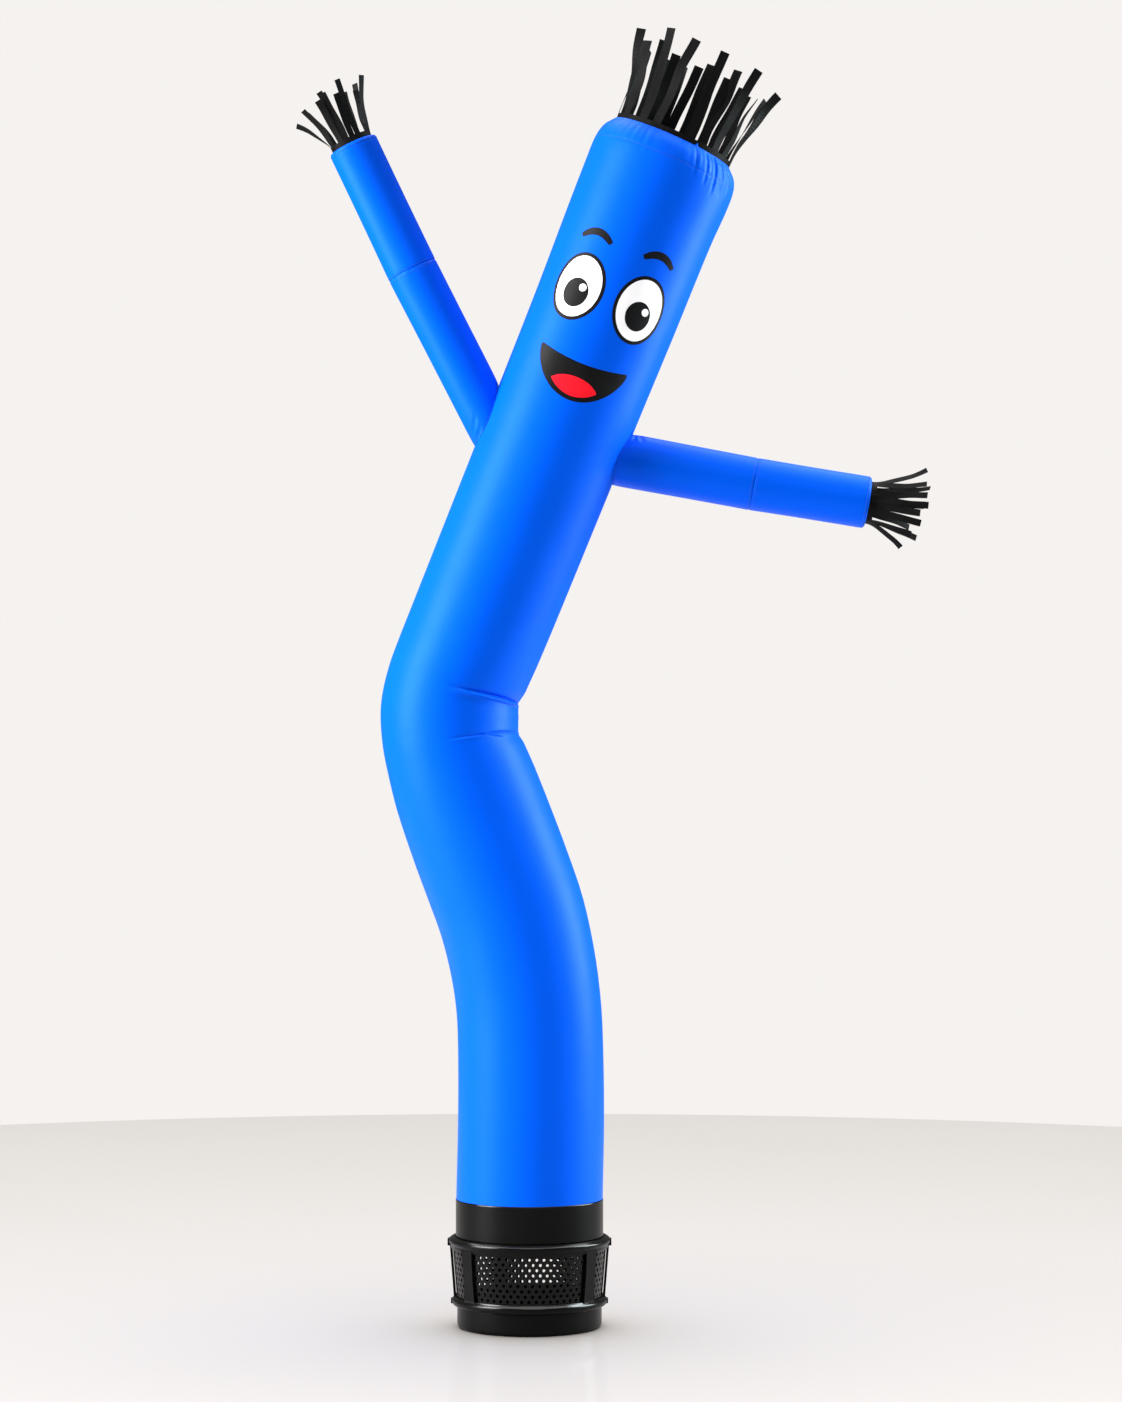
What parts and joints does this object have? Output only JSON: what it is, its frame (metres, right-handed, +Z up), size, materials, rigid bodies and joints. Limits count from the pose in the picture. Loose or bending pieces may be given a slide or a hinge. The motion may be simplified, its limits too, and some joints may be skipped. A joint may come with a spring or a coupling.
{
  "type": "inflatable air dancer on a blower base",
  "caption": "Tall inflated cloth tube figure with bent waist, raised sleeve arms, ribbon streamers at head and hands, standing on a round black blower base.",
  "frame": {"origin": "centre of the blower base's underside, on the ground", "axes": "+Z up, the figure faces -Y, and its arms spread along X, with +X on the right of a viewer in front"},
  "size_m": [0.9876, 0.2512, 2.0214],
  "materials": {
    "blue_nylon": "satin",
    "black_ribbon": "satin",
    "black_plastic": "satin",
    "black_grille": "satin"
  },
  "bodies": {
    "root": {"body": "blue_nylon", "arm_left_upper": "blue_nylon", "arm_left_fore": "blue_nylon", "arm_right_upper": "blue_nylon", "arm_right_fore": "blue_nylon", "head_streamers": "black_ribbon", "left_streamers": "black_ribbon", "right_streamers": "black_ribbon", "blower_nozzle": "black_plastic", "blower_cage": "black_plastic", "blower_grille": "black_grille", "blower_drum": "black_plastic"}
  },
  "joints": []
}
